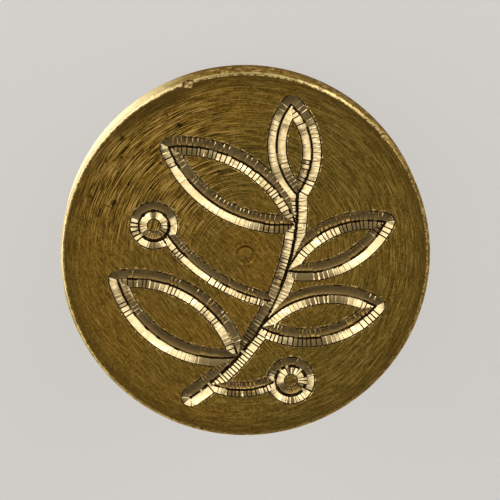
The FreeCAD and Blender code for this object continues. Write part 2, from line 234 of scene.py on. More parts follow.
class SEAL_PG_finish(bpy.types.PropertyGroup):
    """Colours of the surfaces, and where and how finely they are marked."""

    ring_pitch: length("Ring pitch", "Distance between the lathe's rings", 0.065)
    streak: length("Streak length", "Length of the streaks along the face's rings", 0.8)
    hollow: number("Hollow", "How hollow the cut walls look, in millimetres of rise per square", 0.32)
    sanding: degrees("Sanding", "Direction in which the face was sanded after turning", 128.0)
    # Painted shade: the face is painted darker in a ring along its rim, most of all in this direction.
    rim_shade_side: degrees("Smudge", "Direction from +X in which the face is darkest along its rim", 120.0)
    side_streak: length("Side streak length", "Length of the streaks along the sides' rings", 2.5)
    # This darkest colour of the face also paints the painted shade along the face's rim.
    land_dark: colour("Land, dark", "Darkest streaks of the tarnished face", 0.10, 0.06, 0.012)
    land_brown: colour("Land, brown", "Main tone of the tarnished face", 0.264, 0.148, 0.018)
    land_olive: colour("Land, olive", "Greener tone of the tarnished face", 0.176, 0.120, 0.019)
    land_light: colour("Land, light", "Lightest streaks of the face", 0.66, 0.43, 0.11)
    # Painted shade and real grime: this dark colour paints the shade in the strokes' bottom corners, along
    # most of their lips and on their strong ribs, and colours the scratches and the face's dark dashes and
    # blots.
    grime_and_shade: colour("Grime", "What the wax leaves in corners and along edges", 0.02, 0.013, 0.007)
    cut_brass: colour("Cut brass", "Freshly cut brass inside the strokes", 0.85, 0.68, 0.375)
    edge_brass: colour("Edge brass", "Brass that handling keeps clean", 0.78, 0.54, 0.22)
    turned_brass: colour("Turned brass", "Turned and lightly tarnished sides", 0.60, 0.41, 0.13)
    turned_dark: colour("Turned brass, dark", "Tarnish on the turned sides", 0.30, 0.18, 0.045)
    # Painted highlight: the two colours below paint a highlight on the rim's front chamfer, on the half of
    # the rim that faces its paler side.
    glint_gold: colour("Edge gold", "The rim's front chamfer at the lower left", 0.97, 0.73, 0.18)
    glint_pale: colour("Edge, light", "The rim's front chamfer at the top", 0.97, 0.81, 0.36)
    rim_brass: colour("Rim brass", "The head's sides, tarnished like its face", 0.48, 0.31, 0.08)
    rim_dark: colour("Rim brass, dark", "Darkest tarnish on the head's sides", 0.18, 0.112, 0.022)
    rim_glance: colour("Rim glance", "Tint of the head's sides at a glancing view", 0.62, 0.47, 0.11)
    # Painted highlight: the rim is painted paler on the side in this direction, in the two colours below; the
    # paler brass also colours the flecks of clean brass along the rim.
    highlit: degrees("Rubbed side", "Direction from +X in which handling rubs the rim clean", 153.0)
    fleck_and_highlight_brass: colour("Rubbed brass", "The rim's brass where it is rubbed clean", 0.95, 0.78, 0.42)
    fleck_and_highlight_glance: colour("Rubbed glance", "Tint of its rubbed places at a glancing view", 1.0, 0.95, 0.74)
    steel: colour("Steel", "Plain steel of the stud", 0.50, 0.50, 0.50)
    steel_dark: colour("Steel, dark", "Darkest places of the stud", 0.275, 0.275, 0.275)
    wood_light: colour("Wood, light", "Early wood of the handle", 0.22, 0.085, 0.035)
    wood_dark: colour("Wood, dark", "Late wood of the handle", 0.07, 0.026, 0.013)
    wood_pore: colour("Wood, pores", "Pores of the wood", 0.02, 0.009, 0.006)
    wood_ring: length("Wood ring", "Width of a year's ring in the wood", 1.6)
    floor: colour("Floor", "Pale floor under the stamp", 0.80, 0.79, 0.77)


class SEAL_PG_stage(bpy.types.PropertyGroup):
    """Floor, lights and camera."""

    floor_size: length("Floor size", "Width of the floor", 6000.0)
    camera_distance: length("Camera distance", "Distance from the face's centre", 230.0)
    camera_tilt: degrees("Camera tilt", "How far the camera leans towards the picture's top", 9.8)
    camera_turn: degrees("Camera turn", "How far the camera leans to the picture's left", 1.0)
    aim_right: length("Aim right", "How far right of the face's centre the camera aims", 0.306)
    aim_up: length("Aim up", "How far above the face's centre the camera aims", 0.36)
    view_width: length("View width", "Width of what the camera sees at the face", 33.79)
    box_distance: length("Soft box distance", "Distance of the soft boxes from the stamp", 700.0)


class SEAL_PG_stamp(bpy.types.PropertyGroup):
    """All settings of the seal stamp."""

    head: PointerProperty(type=SEAL_PG_head)
    engraving: PointerProperty(type=SEAL_PG_engraving)
    ferrule: PointerProperty(type=SEAL_PG_ferrule)
    insert: PointerProperty(type=SEAL_PG_insert)
    stud: PointerProperty(type=SEAL_PG_stud)
    handle: PointerProperty(type=SEAL_PG_handle)
    finish: PointerProperty(type=SEAL_PG_finish)
    stage: PointerProperty(type=SEAL_PG_stage)


# Meshes

TURNED_STEPS = 192
ARC_STEP = math.radians(3)
CORNER_ROUNDING = 0.05 * MM
ROUNDING_STEPS = 3
MERGE = 0.0005 * MM
SHARP_ANGLE = math.radians(35)


def arc_between(start, end, radius):
    """Points of the arc from start to end, without start. A positive radius turns left on the way."""
    chord = end - start
    middle = (start + end) / 2
    left = Vector((-chord.y, chord.x)).normalized()
    reach = math.sqrt(max(radius * radius - chord.length_squared / 4, 0))
    centre = middle + left * math.copysign(reach, radius)
    sweep = math.copysign(2 * math.asin(min(chord.length / 2 / abs(radius), 1)), radius)
    steps = max(2, round(abs(sweep) / ARC_STEP))
    spoke = start - centre
    return [centre + Matrix.Rotation(sweep * k / steps, 2) @ spoke for k in range(1, steps + 1)]


def turned(corners, rounding=CORNER_ROUNDING, closed=False):
    """A turned piece from its outline. Each corner is (radius, height) in metres, or (radius, height, bend)
    where an arc of that radius leads to it. An open outline starts and ends on the axis."""
    bm = bmesh.new()
    outline = []
    sharp = []
    for corner in corners:
        place = Vector(corner[:2])
        if len(corner) == 3:
            before = Vector((outline[-1].co.x, outline[-1].co.z))
            for point in arc_between(before, place, corner[2])[:-1]:
                outline.append(bm.verts.new((point.x, 0, point.y)))
        outline.append(bm.verts.new((place.x, 0, place.y)))
        if place.x > 0:
            sharp.append(outline[-1])
    pairs = list(zip(outline, outline[1:]))
    if closed:
        pairs.append((outline[-1], outline[0]))
    for pair in pairs:
        bm.edges.new(pair)
    if rounding:
        bmesh.ops.bevel(
            bm, geom=sharp, offset=rounding, offset_type="OFFSET", segments=ROUNDING_STEPS,
            profile=0.5, affect="VERTICES", material=-1,
        )
    bmesh.ops.spin(
        bm, geom=bm.verts[:] + bm.edges[:], cent=(0, 0, 0), axis=UP, angle=math.tau,
        steps=TURNED_STEPS, use_merge=True,
    )
    closed_up(bm)
    return bm


def closed_up(bm):
    """Merges the vertices that meet, fills the open ends and turns all faces outwards."""
    bmesh.ops.remove_doubles(bm, verts=bm.verts, dist=MERGE)
    open_edges = [edge for edge in bm.edges if edge.is_boundary]
    if open_edges:
        bmesh.ops.holes_fill(bm, edges=open_edges, sides=0)
    bmesh.ops.recalc_face_normals(bm, faces=bm.faces)


def mesh_object(name, bm, materials):
    """An object at the origin that holds the bmesh's result."""
    mesh = bpy.data.meshes.new(name)
    bm.to_mesh(mesh)
    bm.free()
    for material in materials:
        mesh.materials.append(material)
    piece = bpy.data.objects.new(name, mesh)
    bpy.context.scene.collection.objects.link(piece)
    return piece


def boolean(piece, cutters, operation):
    """Cuts the other meshes out of a piece, or keeps what they share, and deletes them."""
    group = bpy.data.collections.new(piece.name + "_cutters")
    bpy.context.scene.collection.children.link(group)
    for cutter in cutters:
        bpy.context.scene.collection.objects.unlink(cutter)
        group.objects.link(cutter)
    step = piece.modifiers.new(operation.title(), "BOOLEAN")
    step.operation = operation
    step.operand_type = "COLLECTION"
    step.collection = group
    step.solver = "EXACT"
    step.material_mode = "TRANSFER"
    graph = bpy.context.evaluated_depsgraph_get()
    result = bpy.data.meshes.new_from_object(piece.evaluated_get(graph))
    piece.modifiers.clear()
    piece.data = result
    for cutter in cutters:
        bpy.data.objects.remove(cutter)
    bpy.data.collections.remove(group)


def shade(piece, flat=()):
    """Smooth shading up to the sharp angle, and flat faces on the named materials."""
    mesh = piece.data
    mesh.polygons.foreach_set("use_smooth", [True] * len(mesh.polygons))
    mesh.set_sharp_from_angle(angle=SHARP_ANGLE)
    names = [material.name for material in mesh.materials]
    for polygon in mesh.polygons:
        if names[polygon.material_index] in flat:
            polygon.use_smooth = False


def mount(piece, node, body):
    """Puts a finished piece in the place of its CAD node."""
    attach(piece, body)
    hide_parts(node)


# Strokes of the engraving

# Places of the cutters' materials, and of two of the head's own.
# The cutters' second material is painted shade, in the strokes' bottom corners, along most lips and on the
# strong ribs.
CLEAN, PAINTED_SHADE, BURR = 0, 1, 2
LAND, EDGE = 1, 2


class Arc:
    """A stroke's line: an arc between two places, bent by a share of its chord."""

    def __init__(self, start, end, rise_share):
        chord = end - start
        self.start = start
        self.sweep = -4 * math.atan(2 * rise_share)
        radius = chord.length / 2 / math.sin(self.sweep / 2)
        left = UP.cross(chord).normalized()
        self.centre = (start + end) / 2 + left * radius * math.cos(self.sweep / 2)
        self.length = abs(radius * self.sweep)
        self.heading = math.atan2(chord.y, chord.x) - self.sweep / 2

    def place(self, share):
        return self.centre + Matrix.Rotation(self.sweep * share, 3, UP) @ (self.start - self.centre)

    def turn(self, share):
        return self.heading + self.sweep * share


class Ring:
    """A closed round stroke's line."""

    def __init__(self, centre, radius):
        self.centre = centre
        self.radius = radius
        self.length = math.tau * radius

    def place(self, share):
        return self.centre + Matrix.Rotation(math.tau * share, 3, UP) @ Vector((self.radius, 0, 0))

    def turn(self, share):
        return math.tau * share + math.pi / 2


class Engraver:
    """Shapes the cutter's strokes as closed meshes, facet by facet. The facets come in runs: in some the
    cutter chatters and leaves strong ribs, painted dark as painted shade on the walls that face the rib side,
    in others it glides."""

    pit_facets = 8
    pit_gap = math.radians(7)
    least_steps = 3
    run_facets = (3, 9)
    facet_lengths = (0.75, 1.25)
    strong_share = 0.85
    faint_share = 0.3
    corner_share = 0.8
    shaded_share = 0.5
    # Share of the shaded walls' lips that are left without the painted shade.
    unpainted_lips = 0.55
    burr_heights = (0.5, 1.25)
    # Corners of a burr from the stroke's edge: across, beside its width, and up, beside its depth.
    burr_shares = ((-0.5, 1.0), (1 / 3, 0.25), (2.0, 1.0))

    def __init__(self, sizes, face_height, materials):
        self.sizes = sizes
        self.face = UP * face_height
        self.materials = materials
        self.random = random.Random(sizes.seed)
        self.spread = math.tan(sizes.angle / 2)
        self.habit = self.bent(1.0, sizes.habit)
        self.rib_side = Vector((math.cos(sizes.rib_side), math.sin(sizes.rib_side), 0))
        self.cutters = []
        self.burrs = []

    def section(self, depth, tip):
        """Corners of the cutter's profile, across and up, for walls that would meet at that depth."""
        sizes = self.sizes
        edge = depth * self.spread
        shoulder = edge - sizes.lip_width
        tip = tip / 2
        floor = sizes.lip_depth + (shoulder - tip) / self.spread
        top = edge + sizes.lip_reach
        side = [
            (tip, -floor),
            (tip + sizes.corner * self.spread, sizes.corner - floor),
            (shoulder, -sizes.lip_depth),
            (top, sizes.lip_depth * sizes.lip_reach / sizes.lip_width),
            (top, sizes.lip_depth + 2 * sizes.burr_height),
        ]
        return side + [(-across, height) for across, height in reversed(side)]

    def bent(self, depth, lean):
        """Scales the profile's depth and leans it, while its edges stay where they are."""
        return Matrix(((1, 0, 0, 0), (0, 1, lean, 0), (0, 0, depth, 0), (0, 0, 0, 1)))

    def facets(self, line, plate):
        """The facets along a line. Each has the share of the line at which it ends, its lean, its depth at
        both ends beside the true one, and whether a strong rib follows."""
        sizes = self.sizes
        made = []
        reach = 0.0
        left_over = 0
        for _ in range(max(self.least_steps, round(line.length / plate))):
            if not left_over:
                left_over = self.random.randint(*self.run_facets)
                chatters = self.random.random() < sizes.chatter
                uneven = 1.0 if chatters else sizes.glide
                run_lean = self.spot(sizes.lean)
                run_depth = 1 + self.spot(sizes.depth_error)
            left_over -= 1
            reach += self.random.uniform(*self.facet_lengths)
            lean = run_lean + self.spot(sizes.lean) * uneven
            depth = run_depth + self.spot(sizes.depth_error) * uneven
            rock = self.spot(sizes.rock) * uneven
            strong = chatters and self.random.random() < self.strong_share
            made.append((reach, lean, depth - rock, depth + rock, strong))
        return [(stop / reach, *rest) for stop, *rest in made]

    def frames(self, line, plate, closed=False):
        """Where the profile stands along a line, and whether the way there is painted dark as painted shade:
        two places for each facet and one for each rib between."""
        sizes = self.sizes
        gap = sizes.rib / line.length / 2
        placed = []
        before = 0.0
        painted_dark = False
        for stop, lean, first_depth, last_depth, strong in self.facets(line, plate):
            rib_before = closed or before > 0
            rib_after = closed or stop < 1
            placed.append((before + gap * rib_before, self.bent(first_depth, lean), painted_dark))
            placed.append((stop - gap * rib_after, self.bent(last_depth, lean), False))
            if rib_after:
                share = 1.0 if strong else self.faint_share
                rib = Matrix.Translation((0, 0, sizes.rib_rise * share))
                placed.append((stop, rib @ self.bent(1 - sizes.rib_depth * share, 0), strong))
            painted_dark = strong
            before = stop
        if closed:
            placed.append((placed[0][0] + 1, placed[0][1], painted_dark))
        return [(self.stand(line, share) @ local, painted_dark) for share, local, painted_dark in placed]

    def stand(self, line, share):
        """Where the cutter stands at a share of a line, its profile across the line."""
        return self.over(line.place(share), line.turn(share))

    def over(self, place, turn):
        """The cutter over a place of the face, turned that far and held as the engraver is used to."""
        return Matrix.Translation(self.face + place) @ self.habit @ Matrix.Rotation(turn, 4, "Z")

    def spot(self, reach):
        return self.random.uniform(-1, 1) * reach

    def finish(self, bm, name, floor):
        """Closes a cutter, paints its bottom corner and most of its lips dark as painted shade, and keeps it
        for the cut.
        """
        closed_up(bm)
        for face in bm.faces:
            height = face.calc_center_median().z - self.face.z
            if height < self.sizes.corner * self.corner_share - floor:
                face.material_index = PAINTED_SHADE
            elif height > -self.sizes.lip_depth:
                shaded = face.normal.y > self.shaded_share * face.normal.xy.length
                clean = shaded and self.random.random() < self.unpainted_lips
                face.material_index = CLEAN if clean else PAINTED_SHADE
        self.cutters.append(mesh_object(name, bm, self.materials))

    def carried(self, bm, edges, step):
        """Extrudes a ring of edges and moves the copy by one step. Gives the copy and the faces between."""
        made = bmesh.ops.extrude_edge_only(bm, edges=edges)["geom"]
        verts, edges, faces = (
            [item for item in made if isinstance(item, kind)]
            for kind in (bmesh.types.BMVert, bmesh.types.BMEdge, bmesh.types.BMFace)
        )
        bmesh.ops.transform(bm, matrix=step, verts=verts)
        fresh = set(verts)
        return [edge for edge in edges if fresh.issuperset(edge.verts)], faces

    def profile(self, bm, place, corners):
        """A closed ring of edges through the corners, across the line at a place."""
        verts = [bm.verts.new(place @ Vector((0, across, height))) for across, height in corners]
        return [bm.edges.new(pair) for pair in zip(verts, verts[1:] + verts[:1])]

    def sweep(self, line, depth, tip, plate, closed=False):
        """Carries the profile along a line."""
        corners = self.section(depth, tip)
        frames = self.frames(line, plate, closed)
        bm = bmesh.new()
        ring = self.profile(bm, frames[0][0], corners)
        for (before, _), (after, painted_dark) in zip(frames, frames[1:]):
            ring, faces = self.carried(bm, ring, after @ before.inverted())
            for face in faces:
                # Painted shade: the strong ribs are painted dark on the walls that face the rib side.
                ribbed = (face.calc_center_median() - after.translation).dot(self.rib_side) < 0
                face.material_index = PAINTED_SHADE if painted_dark and ribbed else CLEAN
        self.finish(bm, "stroke", -corners[0][1])
        for side in (1, -1):
            self.burr(line, depth, side)

    def burr(self, line, depth, side):
        """A thin ridge of uneven height along one edge of a stroke, under the face where there is none."""
        sizes = self.sizes
        edge = depth * self.spread + sizes.lip_reach
        foot = -sizes.burr_height
        corners = [
            (side * (edge + sizes.burr_width * across), foot * down) for across, down in self.burr_shares
        ]
        count = max(self.least_steps, round(line.length / sizes.burr_step))
        bm = bmesh.new()
        before = self.stand(line, 0)
        ring = self.profile(bm, before, corners)
        for number in range(1, count + 1):
            after = self.stand(line, number / count)
            ring, _ = self.carried(bm, ring, after @ before.inverted())
            before = after
        bmesh.ops.remove_doubles(bm, verts=bm.verts, dist=MERGE)
        top = self.face.z + foot / 2
        for vert in bm.verts:
            if vert.co.z > top and self.random.random() > sizes.burr_gaps:
                rise = sizes.burr_height * self.random.uniform(*self.burr_heights)
                bmesh.ops.translate(bm, verts=[vert], vec=(0, 0, rise))
        closed_up(bm)
        self.burrs.append(mesh_object("burr", bm, self.materials[BURR:]))

    def pit(self, place, depth, tip):
        """The facets that the cutter leaves where it turns on the spot, at a stroke's end."""
        bm = bmesh.new()
        stand = self.over(place, self.random.uniform(0, math.tau))
        corners = self.section(depth, tip)
        side = corners[:len(corners) // 2]
        start = side[0]
        made = bmesh.ops.create_circle(bm, cap_ends=False, segments=self.pit_facets * 2, radius=start[0])
        half = math.tau / self.pit_facets / 2 - self.pit_gap
        bmesh.ops.rotate(bm, verts=made["verts"][1::2], cent=(0, 0, 0), matrix=Matrix.Rotation(half, 3, "Z"))
        bmesh.ops.translate(bm, verts=bm.verts, vec=(0, 0, start[1]))
        ring = bm.edges[:]
        for (near, low), (far, high) in zip(side, side[1:]):
            step = Matrix.Translation((0, 0, high)) @ Matrix.Diagonal((far / near, far / near, 1, 1))
            ring, _ = self.carried(bm, ring, step @ Matrix.Translation((0, 0, -low)))
        bmesh.ops.transform(bm, matrix=stand, verts=bm.verts)
        self.finish(bm, "pit", -start[1])


def engrave(stamp, face_height, materials):
    """All strokes of the sprig."""
    sizes = stamp.engraving
    low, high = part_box("engraved_head")
    scale = (high.x - low.x) / 2 - sizes.margin
    tool = Engraver(sizes, face_height, materials)
    start, end = (Vector((*shares, 0)) * scale for shares in (STEM_START_SHARES, STEM_END_SHARES))
    stem = Arc(start, end, STEM_RISE_SHARE)
    tool.sweep(stem, sizes.depth, sizes.tip, sizes.plate)
    tool.pit(stem.place(0), sizes.depth, sizes.tip)
    tool.pit(stem.place(1), sizes.depth, sizes.tip)
    leaf_depth = sizes.depth * sizes.leaf_depth
    for share, across, up, fullness in LEAF_SHARES:
        tip = Vector((across, up, 0)) * scale
        for side in (fullness, -fullness):
            tool.sweep(Arc(stem.place(share), tip, side), leaf_depth, sizes.leaf_tip, sizes.leaf_plate)
        tool.pit(tip, leaf_depth, sizes.leaf_tip)
    for share, across, up, rise in BERRY_SHARES:
        base = stem.place(share)
        centre = Vector((across, up, 0)) * scale
        ring = Ring(centre, sizes.berry_ring)
        tool.sweep(ring, sizes.depth * sizes.berry_depth, sizes.tip, sizes.plate, closed=True)
        touch = centre + (base - centre).normalized() * sizes.berry_ring
        tool.sweep(Arc(base, touch, rise), sizes.depth * sizes.stalk_depth, sizes.leaf_tip, sizes.plate)
    return tool.cutters, tool.burrs


# Nodes

# Patterns: how many to a metre, their detail, their roughness and, where they are bent, how far.
FACE_BENDS = (90.0, 1.0)
FACE_PATCHES = (160.0, 3.0, 0.55, 0.5)
FACE_BLOTS = (1300.0, 3.0, 0.65)
FACE_GRAIN = (7500.0, 2.0, 0.6)
RIM_BLOTCHES = (500.0, 2.0, 0.5)
RIM_MOTTLE = (2700.0, 4.0, 0.75)
WOOD_BENDS = (40.0, 2.0, 0.5)
# The two sizes of tarnish, to a metre.
TARNISH = (260.0, 2400.0)
# Pores and fibres to a metre, across the wood and along it.
PORES = (5200.0, 260.0)
FIBRES = (2200.0, 90.0)
# The tree's heart beside the handle's axis, how far its rings wander, and how much it leans.
HEART = (-14 * MM, -6 * MM)
WANDER = 3 * MM
HEART_LEAN = 0.08
# Places of the face, as shares of its radius: where it is sanded most, and where it is worn most.
SANDED_SPOT = (-0.25, -0.22)
WORN_SPOT = (-0.5, 0.5)
# The span that nearly all values of a pattern lie in, and how dark streaks stain the turned sides.
SPAN = (0.3, 0.7)
DARK_STREAKS = (0.5, 0.3, 0.6)
# How strong and how high the lathe's marks stand on the sides.
SIDE_MARKS = (0.7, 0.05 * MM)
# Metals whose tone and roughness drift: their clean and their stained colour, the drift's pattern, where it
# turns clean to stained and how far, and how rough the metal is at both ends of the drift.
DRIFTING = {
    "cut_brass": ("cut_brass", "turned_brass", (2600.0, 2.0, 0.5), (0.35, 0.7, 0.35), (0.14, 0.22)),
    # The strokes' edge material: painted shade in the strokes, and the colour of the scratches.
    "stroke_edge": ("grime_and_shade", "land_dark", (3500.0, 2.0, 0.6), (0.4, 0.9), (0.6, 0.4)),
    "edge_brass": ("edge_brass", "land_dark", (4600.0, 4.0, 0.7), (0.42, 0.60), (0.18, 0.34)),
    "stud_steel": ("steel", "steel_dark", (900.0, 4.0, 0.6), (0.4, 0.68), (0.26, 0.44)),
}


class Wiring:
    """Short ways to add nodes to a tree and to join them."""

    def __init__(self, tree):
        self.tree = tree

    def add(self, kind, inlets=None, **settings):
        """A node with its settings. An inlet is joined to a socket, or set to a value."""
        node = self.tree.nodes.new(kind)
        for name, value in settings.items():
            setattr(node, name, value)
        for name, value in (inlets or {}).items():
            if isinstance(value, bpy.types.NodeSocket):
                self.tree.links.new(value, node.inputs[name])
            else:
                node.inputs[name].default_value = value
        return node

    def feed(self, sockets, **values):
        """Joins values to sockets, whose names are written with underscores for spaces."""
        for label, value in values.items():
            self.tree.links.new(value, sockets[label.replace("_", " ")])

    def math(self, operation, first, second=0.0, third=0.0):
        inlets = {0: first, 1: second, 2: third}
        return self.add("ShaderNodeMath", inlets, operation=operation).outputs[0]

    def plus(self, first, second):
        return self.math("ADD", first, second)

    def times(self, first, second):
        return self.math("MULTIPLY", first, second)

    def times_plus(self, first, second, third):
        return self.math("MULTIPLY_ADD", first, second, third)

    def greater(self, first, second):
        return self.math("MAXIMUM", first, second)

    def range(self, value, low, high, start=0.0, stop=1.0):
        """A smooth step from start to stop, where a value passes from low to high."""
        inlets = {0: value, 1: low, 2: high, 3: start, 4: stop}
        return self.add("ShaderNodeMapRange", inlets, interpolation_type="SMOOTHSTEP").outputs[0]

    def mix(self, factor, first, second, blend="MIX"):
        """A colour between two, of which each is a socket or a colour property."""
        first, second = (
            item if isinstance(item, bpy.types.NodeSocket) else opaque(item) for item in (first, second)
        )
        inlets = {0: factor, 6: first, 7: second}
        return self.add("ShaderNodeMix", inlets, data_type="RGBA", blend_type=blend).outputs[2]

    def tint(self, tone, colour, value, low, high, amount=1.0):
        """Mixes that much of a colour into a tone where a value passes from low to high."""
        return self.mix(self.range(value, low, high, 0.0, amount), tone, colour)

    def blend(self, factor, first, second):
        """A value between two values."""
        return self.times_plus(factor, self.math("SUBTRACT", second, first), first)

    def ramp(self, value, stops):
        """Levels of grey along a value."""
        node = self.add("ShaderNodeValToRGB", {0: value})
        points = node.color_ramp.elements
        while len(points) < len(stops):
            points.new(1.0)
        for point, (place, level) in zip(points, stops):
            point.position = place
            point.color = (level, level, level, 1.0)
        return node.outputs[0]

    def noise(self, vector, scale, detail=2.0, rough=0.5, warp=0.0):
        inlets = {"Vector": vector, "Scale": scale, "Detail": detail, "Roughness": rough, "Distortion": warp}
        return self.add("ShaderNodeTexNoise", inlets).outputs[0]

    def length_of(self, first, second):
        return self.math("SQRT", self.plus(self.times(first, first), self.times(second, second)))

    def away_from(self, spot, scale, x, y):
        """Distance from a spot that is given in shares of a scale."""
        return self.length_of(self.plus(x, -spot[0] * scale), self.plus(y, -spot[1] * scale))

    def towards(self, turn, x, y, scale=1.0):
        """How far a place lies in the direction of an angle."""
        return self.times_plus(x, math.cos(turn) * scale, self.times(y, math.sin(turn) * scale))

    def place(self):
        return self.add("ShaderNodeTexCoord").outputs["Object"]

    def split(self, vector):
        return self.add("ShaderNodeSeparateXYZ", {0: vector}).outputs

    def join(self, x, y, z):
        return self.add("ShaderNodeCombineXYZ", {0: x, 1: y, 2: z}).outputs[0]

    def drawn_out(self, x, y, z, across, along):
        """A place in a pattern of that density across the axis and along it."""
        return self.join(self.times(x, across), self.times(y, across), self.times(z, along))

    def bump(self, height, strength, distance):
        inlets = {"Height": height, "Strength": strength, "Distance": distance}
        return self.add("ShaderNodeBump", inlets).outputs[0]


def opaque(rgb):
    """A colour as the four numbers that a socket takes."""
    return (*rgb[:3], 1.0)


def new_group(name, inlets, outlets):
    """An empty shader node group with float inlets and outlets."""
    tree = bpy.data.node_groups.new(name, "ShaderNodeTree")
    for label, value in inlets.items():
        socket = tree.interface.new_socket(name=label, in_out="INPUT", socket_type="NodeSocketFloat")
        socket.default_value = value
    for label in outlets:
        tree.interface.new_socket(name=label, in_out="OUTPUT", socket_type="NodeSocketFloat")
    wires = Wiring(tree)
    return tree, wires, wires.add("NodeGroupInput").outputs, wires.add("NodeGroupOutput").inputs


def lathe_marks():
    """Rings of a turned surface, broken into streaks. Densities are in marks per metre."""
    name = "lathe_marks"
    if name in bpy.data.node_groups:
        return bpy.data.node_groups[name]
    inlets = {"Ring density": 6000.0, "Streak density": 450.0, "Offset": 0.0}
    tree, wires, given, out = new_group(name, inlets, ("Streaks", "Scratches", "Height"))
    x, y, z = wires.split(wires.place())
    # Height counts for more than radius, so that cones which narrow upwards have rings too.
    along = wires.times_plus(z, 1.7, wires.length_of(x, y))
    ring = wires.times_plus(along, given["Ring density"], given["Offset"])
    streak_x, streak_y = (wires.times(item, given["Streak density"]) for item in (x, y))
    streaks = wires.noise(wires.join(streak_x, streak_y, ring), 1.0, 3.0, 0.6)
    scratches = wires.noise(wires.drawn_out(streak_x, streak_y, ring, 0.6, 1.4), 1.0, 1.0, 0.5)
    height = wires.plus(streaks, wires.times(scratches, 0.5))
    wires.feed(out, Streaks=streaks, Scratches=scratches, Height=height)
    return tree


def tarnish():
    """Blotches of tarnish, from clean at zero to dark at one."""
    name = "tarnish"
    if name in bpy.data.node_groups:
        return bpy.data.node_groups[name]
    tree, wires, given, out = new_group(name, {"Blotch density": 250.0, "Amount": 0.5}, ("Mask",))
    wide = wires.noise(wires.place(), given["Blotch density"], 4.0, 0.6, 0.4)
    wires.feed(out, Mask=wires.range(wide, wires.math("SUBTRACT", 0.75, given["Amount"]), 0.75))
    return tree


def new_material(name, **plain):
    """A material with its shader, whose plain settings are the same all over."""
    material = bpy.data.materials.new(name)
    material.use_nodes = True
    shader = material.node_tree.nodes["Principled BSDF"]
    for label, value in plain.items():
        shader.inputs[label.replace("_", " ")].default_value = value
    return material, Wiring(material.node_tree), shader.inputs


def place_group(wires, tree, **values):
    """A group in a material, with its own values. Names are written with underscores for spaces."""
    node = wires.add("ShaderNodeGroup", node_tree=tree)
    for label, value in values.items():
        node.inputs[label.replace("_", " ")].default_value = value
    return node.outputs


def ring_marks(wires, finish, streak):
    """The lathe's marks in a material, with streaks of that length."""
    return place_group(wires, lathe_marks(), Ring_density=1 / finish.ring_pitch, Streak_density=1 / streak)


def land_material(finish, rim):
    """The face between the strokes: turned, then sanded by hand, tarnished brown and olive."""
    material, wires, shader = new_material("face_brass", Metallic=1.0)
    marks = ring_marks(wires, finish, finish.streak)
    place = wires.place()
    x, y, _ = wires.split(place)
    # The sanding shows most at one spot, and the rings of the lathe near the rim.
    sanded = wires.range(wires.away_from(SANDED_SPOT, rim, x, y), 0.85 * rim, 0.45 * rim, 0.0, 0.9)
    along = wires.math("DIVIDE", wires.towards(finish.sanding, x, y), 2 * finish.streak)
    across = wires.towards(-finish.sanding, y, x)
    bent = wires.times_plus(wires.noise(place, *FACE_BENDS), 0.8 * MM, across)
    strokes = wires.join(along, wires.math("DIVIDE", bent, 1.5 * finish.ring_pitch), 0.0)
    streaks = wires.blend(sanded, marks["Streaks"], wires.noise(strokes, 1.0, 3.0, 0.6))
    scratches = wires.blend(sanded, marks["Scratches"], wires.noise(strokes, 1.5, 1.0, 0.5))
    patches = wires.noise(place, *FACE_PATCHES)
    grain = wires.noise(place, *FACE_GRAIN)
    # Each stain: its colour, what it follows, where it starts and where it is full, and how full.
    tone = finish.land_brown
    for stain in (
        (finish.land_olive, patches, 0.40, 0.60),
        (finish.land_olive, x, 0.08 * rim, 0.80 * rim, 0.7),
        (finish.land_brown, x, 0.24 * rim, -0.88 * rim, 0.75),
        (finish.land_dark, streaks, 0.52, 0.34, 0.5),
        (finish.land_dark, scratches, 0.46, 0.36, 0.85),
        (finish.land_dark, grain, 0.5, 0.34, 0.8),
    ):
        tone = wires.tint(tone, *stain)
    bright = wires.greater(
        wires.range(scratches, 0.53, 0.66, 0.0, 0.34), wires.range(grain, 0.56, 0.7, 0.0, 0.34)
    )
    tone = wires.mix(bright, tone, finish.land_light)
    # Wear uncovers gold flecks and leaves dark dashes and blots. The blots lie along the rim as well.
    worn = wires.range(wires.away_from(WORN_SPOT, rim, x, y), 0.6 * rim, 0.25 * rim, 0.08, 1.0)
    flecks = wires.times(wires.range(marks["Scratches"], 0.58, 0.605), worn)
    dashes = wires.times(wires.range(marks["Scratches"], 0.43, 0.40), worn)
    # Painted shade: a ring along the rim is painted darker, most of all towards one side.
    edge = wires.range(wires.length_of(x, y), 0.88 * rim, 0.985 * rim, 0.0, 0.6)
    crescent = wires.times_plus(patches, 0.12 * rim, wires.towards(finish.rim_shade_side, x, y))
    outer = wires.greater(edge, wires.range(crescent, 0.90 * rim, rim, 0.0, 0.85))
    blots = wires.range(wires.noise(place, *FACE_BLOTS), 0.62, 0.67, 0.0, 0.8)
    tone = wires.mix(flecks, tone, finish.land_light)
    tone = wires.mix(dashes, tone, finish.grime_and_shade)
    tone = wires.mix(wires.times(blots, wires.greater(worn, outer)), tone, finish.grime_and_shade)
    wires.feed(
        shader,
        Base_Color=wires.mix(outer, tone, finish.land_dark),
        Roughness=wires.range(streaks, *SPAN, 0.5, 0.4),
        Normal=wires.bump(wires.times_plus(scratches, 0.5, streaks), 0.3, 0.03 * MM),
    )
    return material


def drifting_material(finish, name):
    """A metal of the table above."""
    clean, stained, drift, turn, rough = DRIFTING[name]
    material, wires, shader = new_material(name, Metallic=1.0)
    drift = wires.noise(wires.place(), *drift)
    tone = wires.tint(getattr(finish, clean), getattr(finish, stained), drift, *turn)
    wires.feed(shader, Base_Color=tone, Roughness=wires.range(drift, *SPAN, *rough))
    return material


